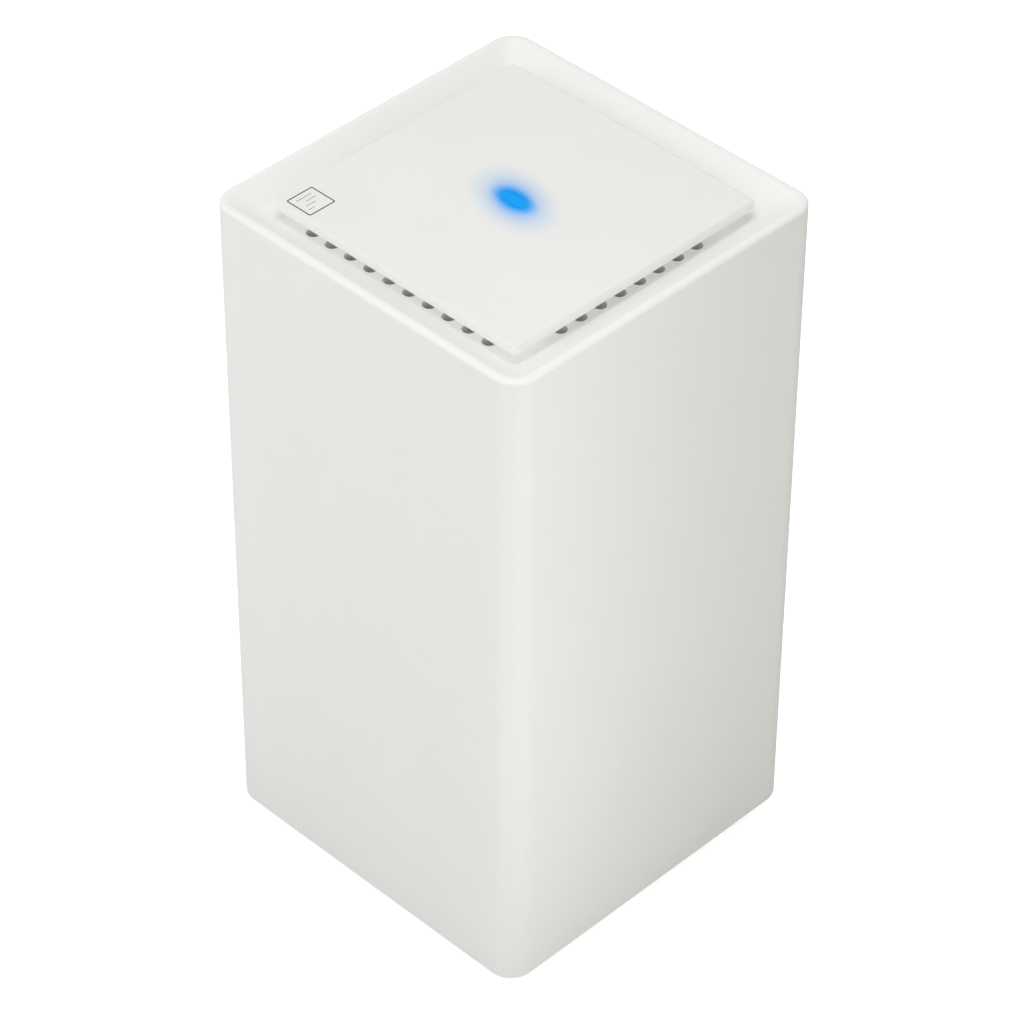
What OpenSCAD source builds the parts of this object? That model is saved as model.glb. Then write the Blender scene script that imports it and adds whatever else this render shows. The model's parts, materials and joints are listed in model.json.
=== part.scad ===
// Tower wireless router: a tall square shell with a floating lid, a ring of exhaust holes under
// it, a fan in the base and an upright main board whose ports open through the rear panel.
// Millimetres. Origin at the centre of the footprint on the ground, +Z up, front towards -Y.

/* [Shell] */
// Width and depth of the square shell
body_w = 110; // [108:1:114]
// Height of the shell alone
shell_h = 206; // [204:1:212]
// Radius of the shell's upright corners
corner_r = 7.2; // [6:0.2:9]
// Thickness of the shell's walls
wall = 2.4; // [2:0.1:2.6]
// Depth of the recess in the top, from rim to deck
recess_d = 5.9; // [5:0.1:7]
// Half width of the deck at the foot of the sloping rim
deck_half = 43.1; // [42.9:0.1:44]
// Half width where the slope meets the rim's crest
crest_half = 52.8; // [52:0.1:53.2]

/* [Lid] */
// Width of the square floating lid
lid_w = 87; // [84:0.2:87.2]
// Thickness of the lid
lid_t = 2.5; // [2.2:0.1:3]
// Rounding of the lid's top edge
lid_edge = 0.8; // [0.4:0.1:1]
// Radius of the lid's corners
lid_r = 1.1; // [1:0.1:5]

/* [Exhaust holes] */
// Distance between neighbouring holes
vent_pitch = 7; // [6:0.5:7.5]
// Diameter of each hole
vent_d = 3.8; // [3:0.1:4.2]
// Distance of each row from the centre
vent_row = 40.4; // [38:0.1:40.6]
// Holes in the front row and in the back row
vent_n_front = 10; // [6:1:10]
// Holes in the left row and in the right row
vent_n_side = 8; // [6:1:9]

/* [Base and fan] */
// Height of the rubber feet
foot_h = 4; // [3:0.5:6]
// Width of the square fan frame
fan_w = 80; // [76:1:80]
// Number of fan blades
blade_n = 9; // [5:1:11]

/* [Ports] */
// Height of the power inlet above the ground
inlet_z = 42; // [40:1:44]
// Height of the uplink port
wan_z = 62; // [60:1:64]
// Height of the lowest local port
lan_z = 84; // [82:1:86]
// Distance between local ports
lan_pitch = 16; // [16:0.5:16.5]
// Number of local ports
lan_n = 4; // [1:1:4]
// Height of the reset pinhole
reset_z = 147; // [146:1:149]
// Height of the pairing button
pair_z = 159; // [158:1:161]

/* [Hidden] */
$fn = 48;
eps = 0.01;

// Heights of the main levels
shell_z = foot_h;
top_z = shell_z + shell_h;
deck_z = top_z - recess_d;
deck_t = 3;
deck_under_z = deck_z - deck_t;
lid_under_z = top_z - lid_t;
half = body_w / 2;
inner_half = half - wall;
inner_r = corner_r - wall;

// Base plate
plate_t = 2.4;
plate_z = shell_z + plate_t;
plate_half = inner_half - 0.3;
foot_at = 43.5;
foot_rad = 6.5;
foot_sink = 0.6;
frame_at = 44;
boss_at = [48.2, 22];
boss_r = 3.6;
pad_h = 2;

// Fan
fan_h = 15;
fan_z = plate_z + 4;
fan_bore_r = fan_w / 2 - 2;
fan_hole_at = 35.75;
hub_r = 17;
shaft_r = 1.5;
shaft_clearance = 0.05;

// Main board, upright in the YZ plane; components are on its +X side
board_t = 1.6;
jack_h = 13.5;
board_x = -jack_h / 2;
board_y = [-44, 50];
board_z = [31, 183];
board_screw_at = [[43, 34.2], [40.5, 179]];
flex_top_x = -10;
flex_y = 4;

// Rear panel and ports
panel_w = 42;
panel_top = 172;
panel_gap = 0.25;
panel_out_y = half - 0.6;
panel_in_y = panel_out_y - 4;
panel_step_y = inner_half - 0.2;
jack_y = panel_out_y - 0.4;
jack_d = 21;
jack_w = 15.8;
port_w = 11.9;
port_low = 1.7;
port_high = 8.7;
port_depth = 14;
sheet = 0.25;
inlet_w = 9;
inlet_h = 13;
inlet_d = 14.5;
inlet_bore_r = 3.2;
inlet_nose_r = 4.2;
mouth_c = 0.4;
inlet_pin_r = 1;

// Heat sinks
chip_t = 1.6;
can_t = 3;
sink_x = board_x + can_t + 1;
sink_base = 3.5;
sink_y = [-41, 13];
sink_z = [66, 170];
sink_fins = 10;
sink_fin_t = 1.4;
sink_reach = 34;
back_sink_x = board_x - board_t - 1;
back_sink_y = [-38, 30];
back_sink_z = [60, 170];
back_sink_base = 3;
sink_pitch = (sink_y[1] - sink_y[0] - sink_fin_t) / (sink_fins - 1);
sink_screw_y = [for (i = [1, 8]) sink_y[0] + sink_fin_t / 2 + sink_pitch * (i + 0.5)];
sink_screw_z = [95.5, 125];

// LED board and light guide
led_board_z = deck_under_z - 5;
led_board_t = 1.6;
led_boss_x = 14;
guide_w = 9;
guide_d = 4.2;
guide_pocket = 1.4;

// Lid posts
post_at = 33;

// Antennas: [x, y, turn about Z] of each, its back against a wall of the frame
antenna_at = [[-48.5, 0, 0], [48.5, 0, 180], [-22, -48.4, 90], [22, -48.4, 90]];
antenna_plug_y = [-38, -26, -14, -2];

// Free-standing cable routes inside the shell, each a list of hand-placed points
left_lead = [
    [-46.9, 0, 140], [-45, 0, 144], [-42, -1, 154], [-37, -4, 168], [-29, -9, 180],
    [-19, -13, 187], [-10, -14, 189.5], [-4.6, -14, 188.2], [-4.3, -14, 184.5], [-4.9, -14, 180.9]
];
right_lead = [
    [46.9, 0, 140], [44.5, 0, 146], [39, -1, 157], [36.5, -3, 170], [27, -4, 180],
    [14, -3.4, 184.5], [4, -2.4, 187.2], [-2.6, -2, 186.2], [-4.4, -2, 184], [-4.9, -2, 180.9]
];
front_left_lead = [
    [-22, -46.8, 140], [-22, -45, 145], [-21.5, -42.4, 156], [-20, -41, 170], [-17, -39.4, 181],
    [-13, -38.2, 187], [-8, -38, 189.4], [-4.6, -38, 188], [-4.3, -38, 184.5], [-4.9, -38, 180.9]
];
front_right_lead = [
    [22, -46.8, 140], [22, -45, 146], [21.5, -43.4, 158], [20, -42.8, 169], [15, -38, 179],
    [8, -31, 184.8], [2, -26.8, 187.2], [-2.8, -26, 186.2], [-4.5, -26, 184], [-4.9, -26, 180.9]
];
antenna_routes = [left_lead, right_lead, front_left_lead, front_right_lead];
fan_lead_route = [
    [25.9, -30.9, 17.9], [28, -34.5, 18.1], [29.5, -38.5, 18.6], [30, -42, 20.8], [29.4, -43, 25],
    [29, -43, 29.2], [27, -42.6, 33.5], [19, -41.5, 38], [10, -39, 41], [5, -36.5, 42], [2.2, -36, 42]
];

// ---------- outlines and solids that repeat ----------

// Points of a rectangle with round corners, n steps to each corner
function round_rect(w, h, r, n = 8) = [
    for (c = [0:3], i = [0:n])
        let (a = 90 * c + 90 * i / n,
             sx = (c == 0 || c == 3) ? 1 : -1,
             sy = (c < 2) ? 1 : -1)
        [sx * (w / 2 - r) + r * cos(a), sy * (h / 2 - r) + r * sin(a)]
];

module round_plate(w, h, t, r, n = 8) linear_extrude(t) polygon(round_rect(w, h, r, n));

// A plate standing in the XZ plane, its near face at y and its thickness towards +Y
module upright_plate(w, h, t, r, y) translate([0, y + t, 0]) rotate([90, 0, 0]) round_plate(w, h, t, r);

// Solid through a stack of square rings, each [half width, corner radius, height]
module square_loft(rings, n = 8) {
    m = 4 * (n + 1);
    k = len(rings);
    points = [for (g = rings) for (p = round_rect(2 * g[0], 2 * g[0], g[1], n)) [p[0], p[1], g[2]]];
    sides = [
        for (j = [0:k - 2], i = [0:m - 1], t = [0, 1])
            let (a = j * m + i, b = j * m + (i + 1) % m)
            t == 0 ? [a, b + m, b] : [a, a + m, b + m]
    ];
    floor_face = [for (i = [0:m - 1]) i];
    roof_face = [for (i = [m - 1:-1:0]) (k - 1) * m + i];
    polyhedron(points = points, faces = concat([floor_face, roof_face], sides));
}

// Point on a quadratic curve
function bend(a, b, c, t) = (1 - t) * (1 - t) * a + 2 * t * (1 - t) * b + t * t * c;

// Smooth route through hand-placed points, s samples to each span
function smooth(p, s) = [
    for (i = [0:len(p) - 2], j = [0:s - 1])
        let (t = j / s,
             a = p[max(i - 1, 0)], b = p[i], c = p[i + 1], d = p[min(i + 2, len(p) - 1)])
        0.5 * (2 * b + (c - a) * t + (2 * a - 5 * b + 4 * c - d) * t * t
               + (3 * b - a - 3 * c + d) * t * t * t),
    p[len(p) - 1]
];

function unit(v) = v / norm(v);

// Tube of radius r along a route, with a ring of k corners at each point
module tube(route, r, k = 8, up = [0, 1, 0.2]) {
    n = len(route);
    points = [
        for (i = [0:n - 1])
            let (t = unit(route[min(i + 1, n - 1)] - route[max(i - 1, 0)]),
                 u = unit(cross(t, up)), v = cross(t, u))
            for (j = [0:k - 1]) route[i] + r * (cos(360 * j / k) * u + sin(360 * j / k) * v)
    ];
    sides = [
        for (i = [0:n - 2], j = [0:k - 1], t = [0, 1])
            let (a = i * k + j, b = i * k + (j + 1) % k)
            t == 0 ? [a, b, b + k] : [a, b + k, a + k]
    ];
    ends = [[for (j = [k - 1:-1:0]) j], [for (j = [0:k - 1]) (n - 1) * k + j]];
    polyhedron(points = points, faces = concat(sides, ends));
}

// Bevelled mouth of a rectangular opening in a rear face at y
module bevel_mouth(x0, x1, z0, z1, y, c) {
    d = c + eps;
    intersection() {
        translate([0, 0, z0 - d]) linear_extrude(z1 - z0 + 2 * d)
            polygon([[x0, y - c], [x1, y - c], [x1 + d, y + eps], [x0 - d, y + eps]]);
        translate([x0 - d, 0, 0]) rotate([90, 0, 90]) linear_extrude(x1 - x0 + 2 * d)
            polygon([[y - c, z0], [y - c, z1], [y + eps, z1 + d], [y + eps, z0 - d]]);
    }
}

// Bevelled mouth of a round opening of radius r in a rear face at y
module bevel_round(z, r, y, c) translate([0, y - c, z]) rotate([-90, 0, 0])
    cylinder(h = c + eps, r1 = r, r2 = r + c + eps);

// The same thing at the four corners of a rectangle
module at_corners(x, y) for (sx = [-1, 1], sy = [-1, 1]) translate([sx * x, sy * y, 0]) children();

// Box between two corners
module box(lo, hi) translate(lo) cube(hi - lo);

// Screw hanging down from its head: head on z = 0 going up, shank going down
module screw(head_r, head_h, shank_r, shank_l) {
    difference() {
        cylinder(h = head_h, r = head_r);
        for (a = [0, 90]) rotate([0, 0, a])
            translate([-head_r * 0.6, -head_r * 0.13, head_h * 0.45])
                cube([head_r * 1.2, head_r * 0.26, head_h]);
    }
    translate([0, 0, -shank_l]) cylinder(h = shank_l, r = shank_r);
}

// ---------- shell ----------

module shell_outside() {
    slope = (top_z - deck_z) / (crest_half - deck_half);
    fillet = 1.1;
    crest_b = 0.35;
    foot_b = 0.35;
    square_loft(concat(
        [for (a = [0:30:90]) [half - 0.4 * (1 - sin(a)), corner_r - 0.4 * (1 - sin(a)),
                              shell_z + 0.4 * (1 - cos(a))]],
        [for (a = [0:15:90]) [half - fillet * (1 - cos(a)), corner_r - fillet * (1 - cos(a)),
                              top_z - fillet * (1 - sin(a))]],
        [for (t = [0:0.25:1]) [bend(crest_half + crest_b, crest_half, crest_half - crest_b, t), 5.2 - 0.2 * t,
                               bend(top_z, top_z, top_z - crest_b * slope, t)]],
        [for (t = [0:0.25:1]) [bend(deck_half + foot_b, deck_half, deck_half - foot_b, t), 3.7 - 0.2 * t,
                               bend(deck_z + foot_b * slope, deck_z, deck_z, t)]]
    ), 12);
}

module shell_cavity() square_loft([
    [inner_half, inner_r, shell_z - 1],
    [inner_half, inner_r, top_z - 3],
    [deck_half + 0.3, 3.4, deck_under_z]
]);

module shell_boss() {
    translate([boss_at[0], boss_at[1], plate_z + 0.1]) cylinder(h = 20, r = boss_r);
    box([boss_at[0], boss_at[1] - 1, plate_z + 0.1], [inner_half + 1, boss_at[1] + 1, plate_z + 20.1]);
}

module vent_rows() {
    for (s = [-1, 1], i = [0:vent_n_front - 1])
        translate([(i - (vent_n_front - 1) / 2) * vent_pitch, s * vent_row, deck_under_z - 1])
            cylinder(h = deck_t + 2, d = vent_d);
    for (s = [-1, 1], i = [0:vent_n_side - 1])
        translate([s * vent_row, (i - (vent_n_side - 1) / 2) * vent_pitch, deck_under_z - 1])
            cylinder(h = deck_t + 2, d = vent_d);
}

module outer_shell() color("white") difference() {
    union() {
        difference() {
            shell_outside();
            shell_cavity();
        }
        for (sx = [0, 1], sy = [0, 1]) mirror([sx, 0, 0]) mirror([0, sy, 0]) shell_boss();
        for (s = [-1, 1]) translate([s * led_boss_x, 0, led_board_z])
            cylinder(h = deck_under_z - led_board_z + 1, r = 2.5);
    }
    vent_rows();
    translate([0, 0, shell_z + (panel_top - shell_z) / 2 - 5])
        upright_plate(panel_w, panel_top - shell_z + 10, 10, 5, inner_half - 3);
    translate([0, 0, deck_under_z - 1]) round_plate(guide_w + 0.3, guide_d + 0.3, deck_t + 2, guide_d / 2);
    at_corners(post_at, post_at) translate([0, 0, deck_under_z - 1]) cylinder(h = deck_t + 2, r = 2);
    at_corners(boss_at[0], boss_at[1]) translate([0, 0, plate_z]) cylinder(h = 14, r = 1.25);
    for (s = [-1, 1]) translate([s * led_boss_x, 0, led_board_z - 1]) cylinder(h = 5, r = 1.05);
}

// ---------- lid and light ----------

module top_lid() color("white") difference() {
    union() {
        square_loft(concat(
            [for (a = [0:45:90]) [lid_w / 2 - 0.2 * (1 - sin(a)), lid_r, lid_under_z + 0.2 * (1 - cos(a))]],
            [for (a = [0:15:90]) [lid_w / 2 - lid_edge * (1 - cos(a)), lid_r - 0.5 * lid_edge * (1 - cos(a)),
                                  top_z - lid_edge * (1 - sin(a))]]
        ));
        at_corners(post_at, post_at) {
            translate([0, 0, deck_z]) cylinder(h = lid_under_z - deck_z + 0.5, r = 3);
            translate([0, 0, deck_under_z - 1.3]) cylinder(h = deck_t + 2, r = 1.9);
            translate([0, 0, deck_under_z - 1.3]) cylinder(h = 1.2, r1 = 1.5, r2 = 2.4);
        }
    }
    translate([0, 0, lid_under_z - 1])
        round_plate(guide_w + 0.6, guide_d + 0.6, 1 + guide_pocket, guide_d / 2);
}

module light_guide() color("lightcyan") {
    flange_z = deck_under_z - 1.3;
    translate([0, 0, flange_z]) round_plate(13, 8, 1.2, 2);
    translate([0, 0, flange_z + 1.2])
        round_plate(guide_w, guide_d, lid_under_z + guide_pocket - 0.1 - flange_z - 1.2, 2);
}

module light_gasket() color("dimgray") difference() {
    h = deck_under_z - 1.3 - led_board_z;
    translate([0, 0, led_board_z]) round_plate(14, 9, h, 1.5);
    translate([0, 0, led_board_z - 1]) round_plate(11.6, 6, h + 2, 1);
}

module led_board() color("darkgreen") difference() {
    translate([0, 0, led_board_z - led_board_t]) round_plate(36, 16, led_board_t, 1);
    for (s = [-1, 1]) translate([s * led_boss_x, 0, led_board_z - 3]) cylinder(h = 5, r = 1.2);
}

module led_chips() color("white") for (x = [-4, 0, 4])
    translate([x - 1.6, -1.4, led_board_z]) cube([3.2, 2.8, 1.4]);

module led_screws() color("silver") for (s = [-1, 1])
    translate([s * led_boss_x, 0, led_board_z - led_board_t]) mirror([0, 0, 1]) screw(2, 1.2, 1, 4.5);

// Flat cable from the LED board's socket down to the main board's socket
module led_flex_cable() color("whitesmoke") {
    t = 0.3;
    socket_z = led_board_z - led_board_t - 1.5;
    loop_x = flex_top_x + 4;
    translate([0, flex_y + 3, 0]) rotate([90, 0, 0]) linear_extrude(6) polygon(concat(
        [[flex_top_x, socket_z], [loop_x, socket_z]],
        [for (a = [90:-15:-90]) [loop_x + 3 * cos(a), socket_z - 3 + 3 * sin(a)]],
        [[loop_x - 1, socket_z - 6]],
        [for (a = [90:15:180]) [loop_x - 1 + 1.2 * cos(a), socket_z - 7.2 + 1.2 * sin(a)]],
        [for (a = [180:15:270]) [loop_x - 0.2 + 2 * cos(a), socket_z - 7.2 + 2 * sin(a)]],
        [[-4, socket_z - 9.2]],
        [for (a = [90:-15:0]) [-4 + 1.6 * cos(a), socket_z - 10.8 + 1.6 * sin(a)]],
        [[-2.4, 180.6], [-2.4 - t, 180.6]],
        [for (a = [0:15:90]) [-4 + (1.6 - t) * cos(a), socket_z - 10.8 + (1.6 - t) * sin(a)]],
        [[loop_x, socket_z - 9.2 - t]],
        [for (a = [270:-15:180]) [loop_x - 0.2 + (2 + t) * cos(a), socket_z - 7.2 + (2 + t) * sin(a)]],
        [for (a = [180:-15:90]) [loop_x - 1 + (1.2 + t) * cos(a), socket_z - 7.2 + (1.2 + t) * sin(a)]],
        [[loop_x, socket_z - 6 + t]],
        [for (a = [-90:15:90]) [loop_x + (3 - t) * cos(a), socket_z - 3 + (3 - t) * sin(a)]],
        [[flex_top_x, socket_z - t]]
    ));
}

// ---------- base ----------

module intake_slots() {
    slot_w = 3;
    slot_pitch = 6;
    reach = 35;
    for (i = [-5:5], s = [-1, 1]) {
        long = sqrt(reach * reach - pow(i * slot_pitch, 2));
        x1 = s * 3;
        x2 = s * (long - slot_w / 2);
        translate([min(x1, x2), i * slot_pitch - slot_w / 2, shell_z - 1])
            cube([abs(x2 - x1), slot_w, plate_t + 2]);
        for (x = [x1, x2]) translate([x, i * slot_pitch, shell_z - 1]) cylinder(h = plate_t + 2, d = slot_w);
    }
}

module base_plate() color("white") difference() {
    union() {
        translate([0, 0, shell_z]) round_plate(2 * plate_half, 2 * plate_half, plate_t, inner_r - 0.3);
        difference() {
            translate([0, 0, plate_z - eps]) round_plate(2 * plate_half, 2 * plate_half, 5.6, inner_r - 0.3);
            translate([0, 0, plate_z - 1])
                round_plate(2 * plate_half - 3.2, 2 * plate_half - 3.2, 8, inner_r - 1.9);
            at_corners(plate_half, boss_at[1]) translate([-6, -5.5, plate_z]) cube([12, 11, 8]);
            translate([-26, plate_half - 5, plate_z]) cube([52, 8, 8]);
        }
        at_corners(fan_hole_at, fan_hole_at) translate([0, 0, plate_z - eps]) cylinder(h = 4 + eps, r = 3.6);
        at_corners(frame_at, frame_at) translate([0, 0, plate_z - eps]) cylinder(h = pad_h + eps, r = 4.6);
    }
    intake_slots();
    at_corners(foot_at, foot_at) translate([0, 0, shell_z - 1])
        cylinder(h = 1 + foot_sink, r = foot_rad + 0.15);
    at_corners(frame_at, frame_at) {
        translate([0, 0, shell_z - 1]) cylinder(h = 8, r = 1.6);
        translate([0, 0, shell_z - 1]) cylinder(h = 1 + foot_sink + 1.2, r = 2.9);
    }
    at_corners(boss_at[0], boss_at[1]) {
        translate([0, 0, shell_z - 1]) cylinder(h = 8, r = 1.6);
        translate([0, 0, shell_z - 1]) cylinder(h = 2.2, r = 2.95);
    }
    at_corners(fan_hole_at, fan_hole_at) translate([0, 0, plate_z + 1]) cylinder(h = 8, r = 1.45);
}

module rubber_feet() color("dimgray") at_corners(foot_at, foot_at) rotate_extrude() polygon(concat(
    [[0, 0]],
    [for (a = [-90:15:0]) [foot_rad - 1 + cos(a), 1 + sin(a)]],
    [[foot_rad, foot_h + foot_sink], [0, foot_h + foot_sink]]
));

module base_screws() color("silver") at_corners(boss_at[0], boss_at[1])
    translate([0, 0, shell_z + 1.2]) mirror([0, 0, 1]) screw(2.7, 1.1, 1.2, 13);

module frame_screws() color("silver") at_corners(frame_at, frame_at)
    translate([0, 0, shell_z + foot_sink + 1.2]) mirror([0, 0, 1]) screw(2.6, 1.1, 1.2, 12);

module rating_label() color("lightgray") translate([0, 45, shell_z - 0.15]) round_plate(52, 8, 0.15, 0.8);

// ---------- inner frame and boards ----------

module inner_frame() color("gainsboro") difference() {
    floor_z = 28;
    roof_z = 187;
    union() {
        at_corners(frame_at, frame_at) translate([-3.5, -3.5, plate_z + pad_h])
            cube([7, 7, roof_z - plate_z - pad_h + 2]);
        translate([0, 0, floor_z]) round_plate(96, 96, 2.5, 3);
        translate([0, 0, roof_z]) difference() {
            round_plate(100, 96, 2, 3);
            translate([0, 0, -1]) round_plate(80, 80, 4, 3);
        }
        for (s = [-1, 1]) box([s * 49.25 - 0.75, -16, 108], [s * 49.25 + 0.75, 16, roof_z + 1]);
        box([-30, -49.9, 108], [30, -48.4, roof_z + 2]);
        box([-11.5, -48.5, floor_z + 1], [-3.5, -42, roof_z + 1]);
        box([-11.5, 44, 174], [-3.5, 50, roof_z + 1]);
        box([-13, 39, floor_z + 1], [board_x - board_t, 47, 37.4]);
        box([-13, 36, 174], [board_x - board_t, 44.5, roof_z + 1]);
    }
    translate([0, 0, floor_z - 1]) cylinder(h = 5, r = 37);
    box([board_x - board_t - 0.1, -44.2, board_z[0] - 0.1], [board_x + 0.1, -41, roof_z - 2]);
    box([board_x - board_t - 0.1, 43, 173], [board_x + 0.1, 50.1, board_z[1] + 0.2]);
    box([board_x + 0.1, 43.9, 173], [-3, 51, board_z[1] + 0.2]);
    at_corners(frame_at, frame_at) translate([0, 0, plate_z]) cylinder(h = 14, r = 1.25);
    for (p = board_screw_at) translate([-14, p[0], p[1]]) rotate([0, 90, 0]) cylinder(h = 8, r = 1.25);
    translate([29, -43, floor_z - 1]) cylinder(h = 5, r = 2.6);
}

module main_board() color("darkgreen") difference() {
    box([board_x - board_t, board_y[0], board_z[0]], [board_x, board_y[1], board_z[1]]);
    for (p = board_screw_at) translate([board_x - 3, p[0], p[1]]) rotate([0, 90, 0]) cylinder(h = 5, r = 1.6);
    for (y = sink_screw_y, z = sink_screw_z) translate([board_x - 3, y, z])
        rotate([0, 90, 0]) cylinder(h = 5, r = 1.6);
}

module board_screws() color("silver") for (p = board_screw_at)
    translate([board_x, p[0], p[1]]) rotate([0, 90, 0]) screw(2.6, 1.6, 1.2, 5.5);

// A component on the board: y and z of its low corner, its size along y and z, and its height
module chip(y, z, w, h, t) box([board_x, y, z], [board_x + t, y + w, z + h]);

module processor() color("dimgray") {
    chip(-26.5, 99.5, 21, 21, 0.9);
    box([board_x + 0.9, -22, 104], [board_x + chip_t, -10, 116]);
}

module memory_chips() color("black") for (z = [98, 112]) chip(-3, z, 8, 11, 1.1);

module small_chips() color("black") {
    chip(-2, 132, 8, 8, 1);
    chip(-1, 150, 6, 8, 1);
    chip(-2, 72, 7, 7, 1);
    for (z = [60, 82, 98, 114, 130]) chip(14.5, z, 2.6, 4.4, 0.9);
    chip(-20, 44, 6, 6, 1);
    chip(10, 44, 5, 6, 1.2);
}

module radio_shields() color("silver") {
    for (b = [[-38, 129, 34, 35], [-38, 70, 34, 22]]) difference() {
        chip(b[0], b[1], b[2], b[3], can_t);
        box([board_x - 1, b[0] + 0.4, b[1] + 0.4],
            [board_x + can_t - 0.4, b[0] + b[2] - 0.4, b[1] + b[3] - 0.4]);
    }
}

module thermal_pads() color("lightsteelblue") {
    box([board_x + chip_t, -22, 104], [board_x + chip_t + 0.8, -10, 116]);
    box([board_x + can_t, -34, 133], [sink_x, -8, 160]);
    box([board_x + can_t, -34, 73], [sink_x, -8, 89]);
    box([back_sink_x, -28, 90], [board_x - board_t, 6, 130]);
}

// Base plate and fins that run up the tower, towards +X for dir = 1 and -X for dir = -1
module finned(x, dir, base_t, ys, zs, fins, reach) {
    pitch = (ys[1] - ys[0] - sink_fin_t) / (fins - 1);
    box([min(x, x + dir * base_t), ys[0], zs[0]], [max(x, x + dir * base_t), ys[1], zs[1]]);
    for (i = [0:fins - 1]) box(
        [min(x + dir * (base_t - eps), dir * reach), ys[0] + i * pitch, zs[0]],
        [max(x + dir * (base_t - eps), dir * reach), ys[0] + i * pitch + sink_fin_t, zs[1]]);
}

module front_heatsink() color("silver") difference() {
    union() {
        finned(sink_x, 1, sink_base, sink_y, sink_z, sink_fins, sink_reach);
        box([board_x + chip_t + 0.8, -24, 102], [sink_x + eps, -8, 118]);
    }
    for (y = sink_screw_y, z = sink_screw_z) translate([sink_x - 1, y, z])
        rotate([0, 90, 0]) cylinder(h = 6, r = 1.6);
}

module back_heatsink() color("silver") difference() {
    finned(back_sink_x, -1, back_sink_base, back_sink_y, back_sink_z, 12, 34);
    for (y = sink_screw_y, z = sink_screw_z)
        translate([back_sink_x - 2.6, y, z]) rotate([0, 90, 0]) cylinder(h = 4, r = 1.25);
}

module heatsink_screws() color("silver") for (y = sink_screw_y, z = sink_screw_z)
    translate([sink_x + sink_base + 3, y, z]) rotate([0, 90, 0]) screw(2, 1.4, 1.15, 15);

module heatsink_springs() color("gray") for (y = sink_screw_y, z = sink_screw_z)
    translate([sink_x + sink_base, y, z]) rotate([0, 90, 0]) difference() {
        cylinder(h = 3, r = 1.95);
        translate([0, 0, -1]) cylinder(h = 5, r = 1.5);
    }

module capacitors() color("darkslategray")
    for (p = [[-34, 59.5], [-34, 50.2], [-12, 57.5], [-2, 57.5], [12, 55]])
    translate([board_x, p[0], p[1]]) rotate([0, 90, 0]) cylinder(h = 11, r = 4);

module inductors() color("dimgray") for (p = [[-28, 52], [-9, 41], [1, 41], [17, 40]])
    translate([board_x, p[0] + 4, p[1] + 4]) rotate([0, 90, 0]) {
        round_plate(8, 8, 3.4, 1.6, 4);
        cylinder(h = 4, r = 3);
    }

module line_transformers() color("black") for (z = [wan_z, for (i = [0:lan_n - 1]) lan_z + i * lan_pitch])
    chip(18.5, z - 6.3, 9.6, 12.6, 5.6);

// ---------- ports ----------

module jack_cavity(z) {
    mid = board_x + port_low;
    box([mid, jack_y - port_depth, z - port_w / 2], [board_x + port_high, jack_y + 1, z + port_w / 2]);
    box([mid, jack_y - port_depth, z - 3.1], [board_x + port_high + 1.5, jack_y + 1, z + 3.1]);
    box([mid, jack_y - port_depth, z - 1.6], [board_x + port_high + 2.7, jack_y + 1, z + 1.6]);
    box([board_x + 2.6, jack_y - port_depth - 0.8, z - 4.2],
        [board_x + 4.4, jack_y - port_depth + 1, z + 4.2]);
    for (s = [-1, 1]) jack_lamp(z, s, 0.1);
}

// Lamp window beside the latch notch
module jack_lamp(z, s, grow = 0) box(
    [board_x + 10.4 - grow, jack_y - 1.2 - grow, z + s * 5.2 - 1.4 - grow],
    [board_x + 12 + grow, jack_y + grow, z + s * 5.2 + 1.4 + grow]);

module jack_body(zs, z_low, z_high) difference() {
    box([board_x, jack_y - jack_d + sheet, z_low + sheet],
        [board_x + jack_h - sheet, jack_y, z_high - sheet]);
    for (z = zs) {
        jack_cavity(z);
        bevel_mouth(board_x + port_low, board_x + port_high, z - port_w / 2, z + port_w / 2, jack_y, 0.35);
    }
}

module jack_shield(z_low, z_high) difference() {
    box([board_x, jack_y - jack_d, z_low], [board_x + jack_h, jack_y, z_high]);
    box([board_x - 1, jack_y - jack_d + sheet, z_low + sheet],
        [board_x + jack_h - sheet, jack_y + 1, z_high - sheet]);
}

// Eight spring contacts, slanting from the back of the cavity towards the plug
module jack_contacts(z) for (i = [0:7]) translate([0, 0, z + (i - 3.5) * 1.02 - 0.22])
    linear_extrude(0.44) polygon([
        [board_x + 3.6, jack_y - port_depth - 0.6], [board_x + 3.3, jack_y - port_depth - 0.6],
        [board_x + 1.9, jack_y - 3.2], [board_x + 1.9, jack_y - 2.4], [board_x + 2.2, jack_y - 2.4],
        [board_x + 2.3, jack_y - 3.2]
    ]);

lan_zs = [for (i = [0:lan_n - 1]) lan_z + i * lan_pitch];
lan_span = [lan_z - jack_w / 2, lan_z + (lan_n - 1) * lan_pitch + jack_w / 2];
wan_span = [wan_z - jack_w / 2, wan_z + jack_w / 2];

module lan_jack() color("darkslategray") jack_body(lan_zs, lan_span[0], lan_span[1]);
module lan_jack_shield() color("silver") jack_shield(lan_span[0], lan_span[1]);
module lan_contacts() color("gold") for (z = lan_zs) jack_contacts(z);
module wan_jack() color("steelblue") jack_body([wan_z], wan_span[0], wan_span[1]);
module wan_jack_shield() color("silver") jack_shield(wan_span[0], wan_span[1]);
module wan_contacts() color("gold") jack_contacts(wan_z);
module jack_lamps() color("palegreen") for (z = concat([wan_z], lan_zs), s = [-1, 1]) jack_lamp(z, s);

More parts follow.
